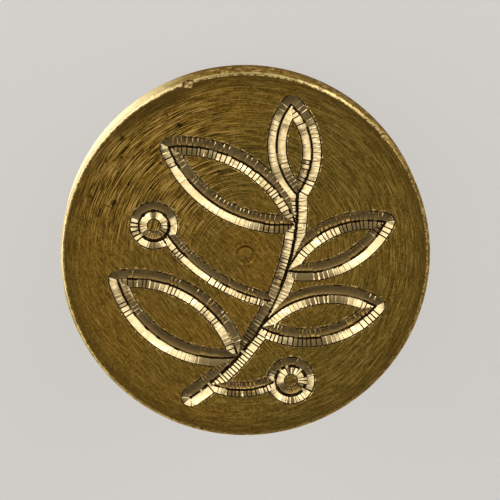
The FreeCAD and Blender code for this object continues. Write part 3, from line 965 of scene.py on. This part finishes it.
def cut_material(finish, half_way):
    """Freshly cut brass in the strokes: bright, nearly a mirror. A bump that grows with the square of the
    distance from the height half way down makes the walls look as hollow as a round cutter leaves them."""
    material = drifting_material(finish, "cut_brass")
    wires = Wiring(material.node_tree)
    away = wires.math("DIVIDE", wires.math("SUBTRACT", wires.split(wires.place())[2], half_way), MM)
    hollow = wires.bump(wires.times(wires.times(away, away), finish.hollow), 1.0, MM)
    wires.feed(material.node_tree.nodes["Principled BSDF"].inputs, Normal=hollow)
    return material


def rim_material(finish, rim, chamfer_foot):
    """The head's sides: mottled with tarnish, with a rim that is darker below, has flecks of clean brass and
    is painted paler at one side as a painted highlight. On that half of the rim, the front chamfer above its
    foot is painted gold at the lower left and pale at the top, as a painted highlight."""
    material, wires, shader = new_material("rim_brass", Metallic=1.0)
    marks = ring_marks(wires, finish, finish.side_streak)
    place = wires.place()
    x, y, z = wires.split(place)
    mottle = wires.noise(wires.drawn_out(x, y, z, 1.0, 0.5), *RIM_MOTTLE)
    blotch = wires.noise(place, *RIM_BLOTCHES)
    # Painted highlight: the rim's brass is painted paler, with a paler tint at a glance, on the side that
    # faces this direction.
    towards = wires.towards(finish.highlit, x, y, 1 / rim)
    highlit = wires.range(wires.times_plus(blotch, 0.2, towards), 0.72, 1.06)
    on_rim = wires.range(z, chamfer_foot - 4.6 * MM, chamfer_foot - 3.6 * MM)
    low = wires.range(z, chamfer_foot - 1.8 * MM, chamfer_foot - 3.7 * MM, 0.0, 0.8)
    mottled = wires.range(mottle, 0.43, 0.58, 0.0, 0.85)
    stained = wires.greater(mottled, wires.range(blotch, 0.5, 0.7, 0.0, 0.5))
    dark = wires.greater(stained, wires.times(low, on_rim))
    speck = wires.times(wires.range(mottle, 0.40, 0.35, 0.0, 0.6), on_rim)
    # Painted highlight: on that half of the rim, where tarnish leaves it, the front chamfer is painted gold
    # and pale.
    clean = wires.times(wires.range(towards, -0.5, 0.05), wires.range(mottle, 0.62, 0.44, 0.35, 0.95))
    chamfer_glint = wires.times(wires.range(z, chamfer_foot, chamfer_foot + 0.12 * MM), clean)
    chamfer = wires.tint(finish.glint_gold, finish.glint_pale, y, -0.1 * rim, 0.6 * rim)
    tone = wires.mix(dark, finish.rim_brass, finish.rim_dark)
    tone = wires.tint(tone, finish.rim_dark, marks["Streaks"], *DARK_STREAKS)
    tone = wires.mix(speck, tone, finish.fleck_and_highlight_brass)
    tone = wires.mix(chamfer_glint, tone, chamfer)
    glance = wires.mix(dark, finish.rim_glance, finish.rim_dark)
    wires.feed(
        shader,
        Base_Color=wires.mix(highlit, tone, finish.fleck_and_highlight_brass),
        Specular_Tint=wires.mix(wires.greater(highlit, speck), glance, finish.fleck_and_highlight_glance),
        Roughness=wires.range(dark, 0.0, 1.0, 0.26, 0.45),
        Normal=wires.bump(marks["Height"], *SIDE_MARKS),
    )
    return material


def turned_material(name, finish, amount):
    """Turned brass sides with rings, and that much tarnish in wide and in small blotches."""
    material, wires, shader = new_material(name, Metallic=1.0)
    marks = ring_marks(wires, finish, finish.side_streak)
    wide, small = (
        place_group(wires, tarnish(), Blotch_density=density, Amount=amount)["Mask"]
        for density in TARNISH
    )
    tone = wires.mix(wires.times(wide, 0.28), finish.turned_brass, finish.turned_dark)
    tone = wires.mix(wires.times(small, 0.45), tone, finish.turned_dark)
    wires.feed(
        shader,
        Base_Color=wires.tint(tone, finish.turned_dark, marks["Streaks"], *DARK_STREAKS),
        Roughness=wires.range(wires.plus(wide, small), 0.0, 1.5, 0.26, 0.48),
        Normal=wires.bump(marks["Height"], *SIDE_MARKS),
    )
    return material


def wood_material(finish):
    """Dark turned hardwood: rings about a centre beside the handle, pores along it, and an oiled sheen."""
    material, wires, shader = new_material("handle_wood", Coat_Weight=0.25, Coat_Roughness=0.18)
    place = wires.place()
    x, y, z = wires.split(place)
    drift = wires.times(wires.math("SUBTRACT", wires.noise(place, *WOOD_BENDS), 0.5), WANDER)
    off_x = wires.plus(wires.plus(x, -HEART[0]), drift)
    off_y = wires.plus(wires.plus(y, -HEART[1]), wires.times(z, HEART_LEAN))
    rings = wires.math("FRACT", wires.times(wires.length_of(off_x, off_y), 1 / finish.wood_ring))
    pores = wires.range(wires.noise(wires.drawn_out(x, y, z, *PORES), 1.0, 2.0, 0.5), 0.58, 0.7)
    fibres = wires.noise(wires.drawn_out(x, y, z, *FIBRES), 1.0, 4.0, 0.6)
    grain = wires.plus(wires.times(wires.range(rings, 0.35, 1.0), 0.4), wires.times(fibres, 0.75))
    tone = wires.tint(finish.wood_light, finish.wood_dark, grain, 0.2, 0.85)
    depth = wires.math("SUBTRACT", wires.times(fibres, 0.3), pores)
    wires.feed(
        shader,
        Base_Color=wires.mix(wires.times(pores, 0.75), tone, finish.wood_pore),
        Roughness=wires.range(fibres, *SPAN, 0.34, 0.5),
        Normal=wires.bump(depth, 0.4, 0.04 * MM),
    )
    return material


# Operators


def settings():
    """The stamp's settings in the scene."""
    return bpy.context.scene.seal_stamp


def radial_range(node):
    """A CAD node's lowest height, highest height and outer radius."""
    low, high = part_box(node)
    return low.z, high.z, (high.x - low.x) / 2


class SEAL_OT_head(bpy.types.Operator):
    """Turn the brass head and engrave the sprig into its face"""

    bl_idname = "seal_stamp.head"
    bl_label = "Engraved head"

    # Outline of the mark at the face's centre: out, beside its radius, and up, beside its depth.
    pip_shares = ((0, -0.2), (0.18, -0.2), (0.78, -1), (1, 0), (1, 1), (0, 1))
    # Size of a nick's knock out from the axis, along the rim and down, beside its radius.
    nick_shares = (1.15, 1.3, 0.7)
    scratch_tip_share = 0.125

    def execute(self, context):
        stamp = settings()
        sizes = stamp.head
        bottom, top, rim = radial_range("engraved_head")
        rim_foot = top - sizes.rim_width
        boss = sizes.boss_diameter / 2
        bore_end = bottom + sizes.bore_depth
        point = bore_end + sizes.bore_radius / math.tan(sizes.point_angle / 2)
        bm = turned((
            (0, point),
            (sizes.bore_radius, bore_end),
            (sizes.bore_radius, bottom + sizes.countersink),
            (sizes.bore_radius + sizes.countersink, bottom),
            (boss - sizes.boss_chamfer, bottom),
            (boss, bottom + sizes.boss_chamfer),
            (boss, rim_foot - sizes.boss_flare),
            (boss + sizes.boss_flare, rim_foot),
            (rim - sizes.rim_chamfer, rim_foot),
            (rim, rim_foot + sizes.rim_chamfer),
            (rim, top - sizes.rim_chamfer),
            (rim - sizes.rim_chamfer, top),
            (0, top),
        ))
        face = [item for item in bm.faces if min(vert.co.z for vert in item.verts) > top - MERGE]
        for item in bmesh.ops.dissolve_faces(bm, faces=face, use_verts=True)["region"]:
            item.material_index = LAND
        finish = stamp.finish
        side = rim_material(finish, rim, top - sizes.rim_chamfer)
        land = land_material(finish, rim)
        cut = cut_material(finish, top - stamp.engraving.depth / 2)
        # The strokes' painted shade, which also colours the scratches.
        lip = drifting_material(finish, "stroke_edge")
        edge = drifting_material(finish, "edge_brass")
        for item in bm.faces:
            middle = item.calc_center_median()
            away = math.hypot(middle.x, middle.y)
            if 0 < top - middle.z < CORNER_ROUNDING and away > rim - sizes.rim_chamfer - CORNER_ROUNDING:
                item.material_index = EDGE
        head = mesh_object("brass_head", bm, [side, land, edge])
        cutters, burrs = engrave(stamp, top, [cut, lip, edge])
        boolean(head, burrs, "UNION")
        cutters.append(self.pip(sizes, top, land))
        cutters += self.nicks(sizes, top, rim, edge)
        cutters += self.scratches(sizes, top, rim, lip)
        boolean(head, cutters, "DIFFERENCE")
        shade(head, flat=(land.name, cut.name, lip.name))
        mount(head, "engraved_head", "head")
        return {"FINISHED"}

    def pip(self, sizes, top, land):
        """The small ringed hollow at the face's centre."""
        outer = sizes.pip_radius
        shares = self.pip_shares
        bm = turned([(outer * out, top + sizes.pip_depth * up) for out, up in shares], rounding=0)
        return mesh_object("pip", bm, [land])

    def nicks(self, sizes, top, rim, brass):
        """Small knocks in the rim's front edge."""
        made = []
        for direction, share in RIM_NICK_SHARES:
            bm = bmesh.new()
            bmesh.ops.create_icosphere(bm, subdivisions=1, radius=sizes.nick_size * share)
            bmesh.ops.scale(bm, verts=bm.verts, vec=self.nick_shares)
            turn = Matrix.Rotation(math.radians(direction), 4, "Z")
            place = Matrix.Translation((rim - sizes.rim_chamfer * share / 2, 0, top))
            # The last turn is arbitrary, so that the knocks differ.
            stand = turn @ place @ Matrix.Rotation(direction, 4, "Z")
            bmesh.ops.transform(bm, matrix=stand, verts=bm.verts)
            made.append(mesh_object("nick", bm, [brass]))
        return made

    def scratches(self, sizes, top, rim, brass):
        """Fine scratches across the face's streaks."""
        made = []
        for across, up, direction, share in SCRATCH_SHARES:
            bm = bmesh.new()
            bmesh.ops.create_cone(
                bm, cap_ends=True, segments=4, radius1=sizes.scratch_width / 2,
                radius2=sizes.scratch_width * self.scratch_tip_share, depth=sizes.scratch_length * share,
            )
            place = Matrix.Translation((across * rim, up * rim, top))
            turn = Matrix.Rotation(math.radians(direction), 4, "Z") @ Matrix.Rotation(math.pi / 2, 4, "Y")
            bmesh.ops.transform(bm, matrix=place @ turn, verts=bm.verts)
            made.append(mesh_object("scratch", bm, [brass]))
        return made


class SEAL_OT_ferrule(bpy.types.Operator):
    """Turn the brass ferrule between handle and head"""

    bl_idname = "seal_stamp.ferrule"
    bl_label = "Ferrule"

    def execute(self, context):
        stamp = settings()
        sizes = stamp.ferrule
        bottom, top, lip = radial_range("ferrule")
        wall = sizes.cup_radius + sizes.wall
        chamfer = stamp.head.boss_chamfer
        bm = turned((
            (sizes.cup_radius, bottom),
            (wall, bottom),
            (wall + sizes.band_rise, bottom + sizes.band_rise),
            (wall + sizes.band_rise, bottom + sizes.band - sizes.band_rise),
            (wall, bottom + sizes.band),
            (wall, top - sizes.lip - sizes.flare),
            (lip, top - sizes.lip),
            (lip, top - chamfer),
            (lip - chamfer, top),
            (sizes.hole_radius, top),
            (sizes.hole_radius, top - sizes.plate),
            (sizes.cup_radius, top - sizes.plate),
        ), closed=True)
        brass = turned_material("ferrule_brass", stamp.finish, 0.36)
        piece = mesh_object("brass_ferrule", bm, [brass])
        shade(piece)
        mount(piece, "ferrule", "grip")
        return {"FINISHED"}


class SEAL_OT_insert(bpy.types.Operator):
    """Turn the threaded insert in the handle's bore"""

    bl_idname = "seal_stamp.insert"
    bl_label = "Threaded insert"

    def execute(self, context):
        stamp = settings()
        sizes = stamp.insert
        bottom, top, outside = radial_range("threaded_insert")
        sink = stamp.head.countersink
        corners = [(sizes.bore_radius, bottom), (outside, bottom)]
        for number in range(sizes.barbs):
            foot = bottom + sizes.end_land + sizes.barb_pitch * number
            corners += [(outside, foot), (outside - sizes.barb_depth, foot)]
            corners.append((outside, foot + sizes.barb_length))
        corners += [(outside, top), (sizes.bore_radius + sink, top), (sizes.bore_radius, top - sink)]
        brass = turned_material("insert_brass", stamp.finish, 0.3)
        piece = mesh_object("brass_insert", turned(corners, closed=True), [brass])
        shade(piece)
        mount(piece, "threaded_insert", "grip")
        return {"FINISHED"}


class SEAL_OT_stud(bpy.types.Operator):
    """Cut the thread and the hexagon socket of the steel stud"""

    bl_idname = "seal_stamp.stud"
    bl_label = "Stud"

    thread_steps = 40
    crest_share = 0.125
    root_share = 0.25
    depth_share = 0.6

    def execute(self, context):
        stamp = settings()
        sizes = stamp.stud
        bottom, top, radius = radial_range("stud")
        steel = drifting_material(stamp.finish, "stud_steel")
        rod = mesh_object("steel_stud", self.thread(sizes, bottom, top, radius), [steel])
        blank = turned((
            (0, bottom),
            (radius - sizes.chamfer, bottom),
            (radius + sizes.chamfer, bottom + 2 * sizes.chamfer),
            (radius + sizes.chamfer, top - 2 * sizes.chamfer),
            (radius - sizes.chamfer, top),
            (0, top),
        ), rounding=0)
        boolean(rod, [mesh_object("stud_blank", blank, [steel])], "INTERSECT")
        socket = bmesh.new()
        across = sizes.socket_width / math.sqrt(3)
        bmesh.ops.create_cone(
            socket, cap_ends=True, segments=6, radius1=across, radius2=across, depth=2 * sizes.socket_depth,
            matrix=Matrix.Translation((0, 0, top)),
        )
        boolean(rod, [mesh_object("socket", socket, [steel])], "DIFFERENCE")
        shade(rod)
        mount(rod, "stud", "screw")
        return {"FINISHED"}

    def thread(self, sizes, bottom, top, radius):
        """A rod of thread, longer than the stud at both ends."""
        pitch = sizes.pitch
        root = radius - pitch * self.depth_share
        flank = (1 - self.crest_share - self.root_share) / 2 * pitch
        start = bottom - 2 * pitch
        turns = round((top - start) / pitch) + 2
        bm = bmesh.new()
        profile = (
            (root, start),
            (root, start + self.root_share * pitch),
            (radius, start + self.root_share * pitch + flank),
            (radius, start + (self.root_share + self.crest_share) * pitch + flank),
            (root, start + pitch),
        )
        points = [bm.verts.new((across, 0, height)) for across, height in profile]
        for pair in zip(points, points[1:]):
            bm.edges.new(pair)
        bmesh.ops.spin(
            bm, geom=bm.verts[:] + bm.edges[:], cent=(0, 0, 0), axis=UP, angle=math.tau * turns,
            dvec=(0, 0, pitch / self.thread_steps), steps=self.thread_steps * turns,
        )
        closed_up(bm)
        return bm


class SEAL_OT_handle(bpy.types.Operator):
    """Turn the hardwood handle"""

    bl_idname = "seal_stamp.handle"
    bl_label = "Handle"

    def execute(self, context):
        stamp = settings()
        sizes = stamp.handle
        bottom, tenon_top, _ = radial_range("handle")
        top = bottom + sizes.body_length
        ball = sizes.belly_diameter / 2
        neck = sizes.neck_radius
        collar_low = top - sizes.collar_width
        neck_low = collar_low - sizes.neck_cove
        ball_height = neck_low - math.sqrt(ball ** 2 - neck ** 2)
        taper = sizes.belly_taper
        foot = ball / math.cos(taper) - (ball_height - bottom - sizes.foot_chamfer) * math.tan(taper)
        cove = (sizes.neck_cove ** 2 + sizes.neck_flare ** 2) / (2 * sizes.neck_flare)
        collar = neck + sizes.neck_flare
        floor = tenon_top - sizes.bore_depth
        bm = turned((
            (0, bottom),
            (foot - sizes.foot_chamfer, bottom),
            (foot, bottom + sizes.foot_chamfer),
            (ball * math.cos(taper), ball_height - ball * math.sin(taper)),
            (neck, neck_low, ball),
            (collar, collar_low, -cove),
            (collar + sizes.collar_rise, collar_low + sizes.collar_rise),
            (collar + sizes.collar_rise, top - sizes.collar_rise),
            (collar, top),
            (sizes.tenon_radius, top),
            (sizes.tenon_radius, tenon_top),
            (sizes.bore_radius, tenon_top),
            (sizes.bore_radius, floor),
            (0, floor - sizes.bore_radius / math.tan(sizes.point_angle / 2)),
        ))
        piece = mesh_object("wooden_handle", bm, [wood_material(stamp.finish)])
        shade(piece)
        mount(piece, "handle", "grip")
        return {"FINISHED"}


class SEAL_OT_stage(bpy.types.Operator):
    """Set up the floor, the soft boxes, the surroundings and the camera"""

    bl_idname = "seal_stamp.stage"
    bl_label = "Stage"

    # Each soft box: name, direction from +X, height above the horizon, width and height as seen from the
    # stamp, all in degrees, and brightness beside white.
    soft_boxes = (
        ("key_left", 137, 26, 50, 19, 1.3),
        ("spark_left", 128, 27, 9, 7, 2.6),
        ("side_left", 190, 23, 36, 13, 1.15),
        ("key_right", 45, 26, 50, 19, 1.25),
        ("spark_right", 52, 22, 9, 7, 2.4),
        ("side_right", -10, 23, 36, 13, 1.25),
        ("low_left", 150, 9, 70, 10, 2.8),
        ("low_side", 208, 6, 44, 7, 2.4),
        ("low_right", 54, 8, 34, 8, 3.1),
    )

    # A white card that lies over the floor to the left: its middle, its width and its depth in millimetres,
    # and its brightness beside white.
    floor_card = ((-31, 10, 1), 34, 44, 1.5)

    # The studio's air: sine of the height above the horizon, level in front and level behind. The tent's
    # ring of light stands high, and the camera's own place is dark.
    air_shares = (
        (0.03, 0.75, 0.75),
        (0.14, 0.045, 0.13),
        (0.32, 0.075, 0.17),
        (0.46, 0.20, 0.20),
        (0.56, 0.13, 0.22),
        (0.68, 0.085, 0.8),
        (0.80, 0.09, 0.95),
        (0.90, 0.95, 0.95),
        (0.96, 0.95, 0.95),
        (0.99, 0.35, 0.35),
    )

    # What the studio's dark places look like, beside white.
    dark_tint = (1.0, 0.84, 0.55)

    # How much of the floor's own pale colour is seen without the light's falling off.
    floor_glow = 1.1
    glow_share = 0.4

    # Where the air turns from front to back, as the way towards the picture's top.
    front_end = -0.5
    back_start = 0.8

    def execute(self, context):
        stamp = settings()
        stage = stamp.stage
        face = UP * radial_range("engraved_head")[1]
        self.floor(stage, stamp.finish)
        self.surroundings()
        for name, direction, height, wide, tall, brightness in self.soft_boxes:
            self.soft_box(stage, face, name, direction, height, wide, tall, brightness)
        middle, width, depth, brightness = self.floor_card
        self.lamp("floor_card", Vector(middle) * MM, -UP, width * MM, depth * MM, brightness)
        self.camera(stage, face)
        context.scene.view_settings.view_transform = "Standard"
        return {"FINISHED"}

    def floor(self, stage, finish):
        bm = bmesh.new()
        bmesh.ops.create_grid(bm, x_segments=1, y_segments=1, size=stage.floor_size / 2)
        material, wires, shader = new_material("pale_floor", Roughness=0.9)
        shader["Base Color"].default_value = opaque(finish.floor)
        rays = wires.add("ShaderNodeLightPath").outputs
        seen = wires.greater(rays["Is Camera Ray"], rays["Is Glossy Ray"])
        seen = wires.greater(seen, rays["Is Transmission Ray"])
        glow = wires.add("ShaderNodeEmission", {"Color": opaque(finish.floor), "Strength": self.floor_glow})
        lit = material.node_tree.nodes["Principled BSDF"]
        inlets = {0: wires.times(seen, self.glow_share), 1: lit.outputs[0], 2: glow.outputs[0]}
        blend = wires.add("ShaderNodeMixShader", inlets)
        wires.feed(material.node_tree.nodes["Material Output"].inputs, Surface=blend.outputs[0])
        floor = mesh_object("floor", bm, [material])

    def surroundings(self):
        """The studio's air, from the table above."""
        world = bpy.data.worlds.new("studio")
        bpy.context.scene.world = world
        world.use_nodes = True
        wires = Wiring(world.node_tree)
        _, y, z = wires.split(wires.add("ShaderNodeTexCoord").outputs["Generated"])
        front, back = (
            wires.ramp(z, [(shares[0], shares[column]) for shares in self.air_shares]) for column in (1, 2)
        )
        air = wires.tint(front, back, y, self.front_end, self.back_start)
        tint = wires.mix(air, self.dark_tint, (1.0, 1.0, 1.0))
        air = wires.mix(1.0, air, tint, blend="MULTIPLY")
        wires.feed(world.node_tree.nodes["Background"].inputs, Color=air)

    def soft_box(self, stage, face, name, direction, height, wide, tall, brightness):
        """A rectangular lamp that looks at the stamp and appears that wide and tall from there."""
        turn = math.radians(direction)
        lift = math.radians(height)
        towards = Vector((math.cos(turn) * math.cos(lift), math.sin(turn) * math.cos(lift), math.sin(lift)))
        width = 2 * stage.box_distance * math.tan(math.radians(wide) / 2)
        breadth = 2 * stage.box_distance * math.tan(math.radians(tall) / 2)
        self.lamp(name, face + towards * stage.box_distance, towards, width, breadth, brightness)

    def lamp(self, name, place, back, width, breadth, brightness):
        """A rectangular lamp at a place, with its back turned that way."""
        lamp = bpy.data.lights.new(name, "AREA")
        lamp.shape = "RECTANGLE"
        lamp.size = width
        lamp.size_y = breadth
        lamp.energy = brightness * math.pi * width * breadth
        lamp_object = bpy.data.objects.new(name, lamp)
        lamp_object.location = place
        lamp_object.rotation_euler = back.to_track_quat("Z", "Y").to_euler()
        lamp_object.visible_camera = False
        bpy.context.scene.collection.objects.link(lamp_object)

    def camera(self, stage, face):
        """The photograph's view of the face, framed for a square picture."""
        tilt = stage.camera_tilt
        back = Vector((-math.sin(stage.camera_turn), math.sin(tilt), math.cos(tilt))).normalized()
        right = Vector((0, 1, 0)).cross(back).normalized()
        up = back.cross(right)
        aim = face + right * stage.aim_right + up * stage.aim_up
        camera = bpy.data.cameras.new("camera")
        camera.lens = camera.sensor_width * stage.camera_distance / stage.view_width
        camera.clip_start = 0.01
        camera_object = bpy.data.objects.new("camera", camera)
        turn = Matrix((right, up, back)).transposed().to_4x4()
        camera_object.matrix_world = Matrix.Translation(aim + back * stage.camera_distance) @ turn
        bpy.context.scene.collection.objects.link(camera_object)
        bpy.context.scene.camera = camera_object


class SEAL_PT_stamp(bpy.types.Panel):
    """The seal stamp's steps and settings"""

    bl_idname = "SEAL_PT_stamp"
    bl_label = "Seal stamp"
    bl_space_type = "VIEW_3D"
    bl_region_type = "UI"
    bl_category = "Seal stamp"

    def draw(self, context):
        stamp = context.scene.seal_stamp
        for step in STEPS:
            self.layout.operator(step.bl_idname)
        for name in ("head", "engraving", "ferrule", "insert", "stud", "handle", "finish", "stage"):
            box = self.layout.box()
            box.label(text=name.title())
            group = getattr(stamp, name)
            for label in group.bl_rna.properties.keys():
                if label not in ("rna_type", "name"):
                    box.prop(group, label)


STEPS = (SEAL_OT_head, SEAL_OT_ferrule, SEAL_OT_insert, SEAL_OT_stud, SEAL_OT_handle, SEAL_OT_stage)
CLASSES = (
    SEAL_PG_head, SEAL_PG_engraving, SEAL_PG_ferrule, SEAL_PG_insert, SEAL_PG_stud, SEAL_PG_handle,
    SEAL_PG_finish, SEAL_PG_stage, SEAL_PG_stamp, *STEPS, SEAL_PT_stamp,
)


def register():
    for item in CLASSES:
        bpy.utils.register_class(item)
    bpy.types.Scene.seal_stamp = PointerProperty(type=SEAL_PG_stamp)


def unregister():
    del bpy.types.Scene.seal_stamp
    for item in reversed(CLASSES):
        bpy.utils.unregister_class(item)


def main():
    """Builds every piece and the stage."""
    register()
    bpy.ops.seal_stamp.head()
    bpy.ops.seal_stamp.ferrule()
    bpy.ops.seal_stamp.insert()
    bpy.ops.seal_stamp.stud()
    bpy.ops.seal_stamp.handle()
    bpy.ops.seal_stamp.stage()


if __name__ == "__main__":
    main()
